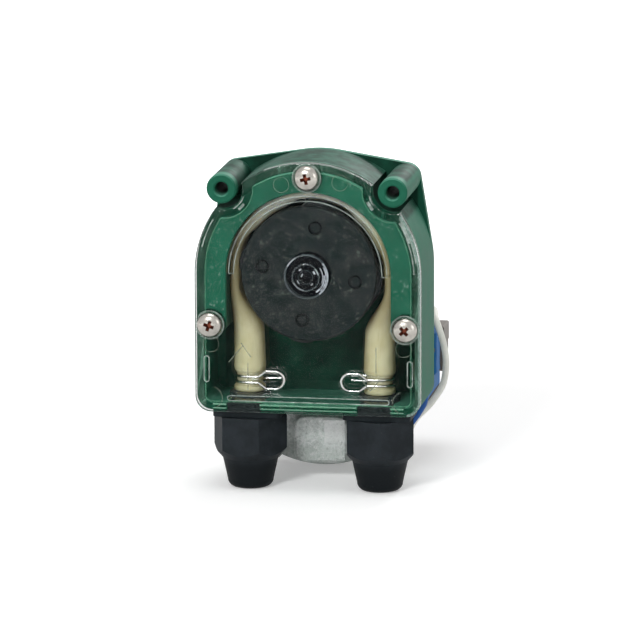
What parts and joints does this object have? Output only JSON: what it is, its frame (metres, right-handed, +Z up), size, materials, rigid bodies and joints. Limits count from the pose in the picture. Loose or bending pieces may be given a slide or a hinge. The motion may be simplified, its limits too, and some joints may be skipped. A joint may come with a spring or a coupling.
{
  "type": "peristaltic dosing pump",
  "caption": "Peristaltic dosing pump: green moulded head with a clear cover, roller rotor and squeezed tube, hose nuts below, and a geared shaded-pole motor behind.",
  "frame": {"origin": "midway between the two panel screw holes, on the rear face of the mounting flange", "axes": "+X to the right as one faces the clear cover, +Y back through the panel towards the motor, +Z up, away from the hose nuts"},
  "size_m": [0.0821, 0.1, 0.1181],
  "materials": {
    "housing_moulding": "satin green moulding",
    "clear_cover": "clear, polished",
    "cover_screw_steel": "bright zinc plated",
    "rotor_moulding": "matt black",
    "roller_pin_steel": "blackened",
    "roller_moulding": "satin dark grey",
    "shaft_steel": "ground",
    "clip_steel": "black spring steel",
    "tube_rubber": "soft, translucent cream",
    "fitting_moulding": "matt black",
    "nut_moulding": "matt black, finely textured",
    "clamp_wire": "bright spring wire",
    "casting_alloy": "as cast, mottled",
    "lid_alloy": "as cast",
    "small_screw_steel": "zinc plated",
    "bearing_bronze": "sintered",
    "gear_steel": "pressed and hobbed",
    "gear_moulding": "natural acetal",
    "arbor_steel": "ground",
    "pinion_brass": "hobbed",
    "motor_rotor_metal": "turned, with cast end rings",
    "core_steel": "laminated, varnished",
    "copper": "bare copper",
    "bobbin_moulding": "grey-brown moulding",
    "coil_tape_film": "blue film",
    "bracket_steel": "zinc plated pressing",
    "white_insulation": "satin",
    "blue_insulation": "satin",
    "plug_moulding": "natural nylon"
  },
  "bodies": {
    "pump_body": {"pump_housing": "housing_moulding", "front_cover": "clear_cover", "cover_screws": "cover_screw_steel", "pump_tube": "tube_rubber", "left_fitting": "fitting_moulding", "right_fitting": "fitting_moulding", "left_nut": "nut_moulding", "right_nut": "nut_moulding", "left_hose_clamp": "clamp_wire", "right_hose_clamp": "clamp_wire", "gearbox_casting": "casting_alloy", "gearbox_cover": "lid_alloy", "gearbox_screws": "small_screw_steel", "head_screws": "small_screw_steel", "output_front_bush": "bearing_bronze", "output_rear_bush": "bearing_bronze", "gear_arbors": "arbor_steel", "stator_core": "core_steel", "shading_rings": "copper", "coil_bobbin": "bobbin_moulding", "coil_winding": "copper", "coil_tape": "coil_tape_film", "motor_front_bracket": "bracket_steel", "motor_rear_bracket": "bracket_steel", "motor_front_bearing": "bearing_bronze", "motor_rear_bearing": "bearing_bronze", "motor_screws": "small_screw_steel", "terminal_tabs": "pinion_brass", "white_lead": "white_insulation", "blue_lead": "blue_insulation", "lead_plug": "plug_moulding"},
    "pump_rotor": {"rotor_front_disc": "rotor_moulding", "rotor_rear_disc": "rotor_moulding", "roller_pins": "roller_pin_steel", "output_shaft": "shaft_steel", "shaft_clip": "clip_steel", "output_gear": "gear_steel"},
    "first_roller": {"roller_1": "roller_moulding"},
    "second_roller": {"roller_2": "roller_moulding"},
    "third_roller": {"roller_3": "roller_moulding"},
    "fourth_roller": {"roller_4": "roller_moulding"},
    "second_cluster": {"second_gear_cluster": "gear_steel"},
    "first_cluster": {"first_gear_cluster": "gear_moulding"},
    "motor_spindle": {"motor_rotor": "motor_rotor_metal", "motor_shaft": "shaft_steel", "motor_pinion": "pinion_brass"}
  },
  "joints": [
    {"name": "pump_rotor_spin", "type": "hinge", "parent": "pump_body", "child": "pump_rotor", "pos_m": [0, -0.0175, -0.03], "axis": [0, 1, 0], "continuous": true, "deforming": ["pump_tube"]},
    {"name": "first_roller_spin", "type": "hinge", "parent": "pump_rotor", "child": "first_roller", "pos_m": [0.00235, -0.0175, -0.01367], "axis": [0, 1, 0], "continuous": true},
    {"name": "second_roller_spin", "type": "hinge", "parent": "pump_rotor", "child": "second_roller", "pos_m": [0.01633, -0.0175, -0.03235], "axis": [0, 1, 0], "continuous": true},
    {"name": "third_roller_spin", "type": "hinge", "parent": "pump_rotor", "child": "third_roller", "pos_m": [-0.00235, -0.0175, -0.04633], "axis": [0, 1, 0], "continuous": true},
    {"name": "fourth_roller_spin", "type": "hinge", "parent": "pump_rotor", "child": "fourth_roller", "pos_m": [-0.01633, -0.0175, -0.02765], "axis": [0, 1, 0], "continuous": true},
    {"name": "second_cluster_spin", "type": "hinge", "parent": "pump_body", "child": "second_cluster", "pos_m": [-0.00701, 0.01, -0.0517], "axis": [0, 1, 0], "continuous": true},
    {"name": "first_cluster_spin", "type": "hinge", "parent": "pump_body", "child": "first_cluster", "pos_m": [0.00427, 0.014, -0.06572], "axis": [0, 1, 0], "continuous": true},
    {"name": "motor_spin", "type": "hinge", "parent": "pump_body", "child": "motor_spindle", "pos_m": [-0.00602, 0.041, -0.07664], "axis": [0, 1, 0], "continuous": true}
  ],
  "couplings": [
    {"joint": "first_roller_spin", "follows": "pump_rotor_spin", "ratio": -2.875},
    {"joint": "second_roller_spin", "follows": "pump_rotor_spin", "ratio": -2.875},
    {"joint": "third_roller_spin", "follows": "pump_rotor_spin", "ratio": -2.875},
    {"joint": "fourth_roller_spin", "follows": "pump_rotor_spin", "ratio": -2.875},
    {"joint": "second_cluster_spin", "follows": "pump_rotor_spin", "ratio": -3.75},
    {"joint": "first_cluster_spin", "follows": "pump_rotor_spin", "ratio": 15},
    {"joint": "motor_spin", "follows": "pump_rotor_spin", "ratio": -60}
  ]
}
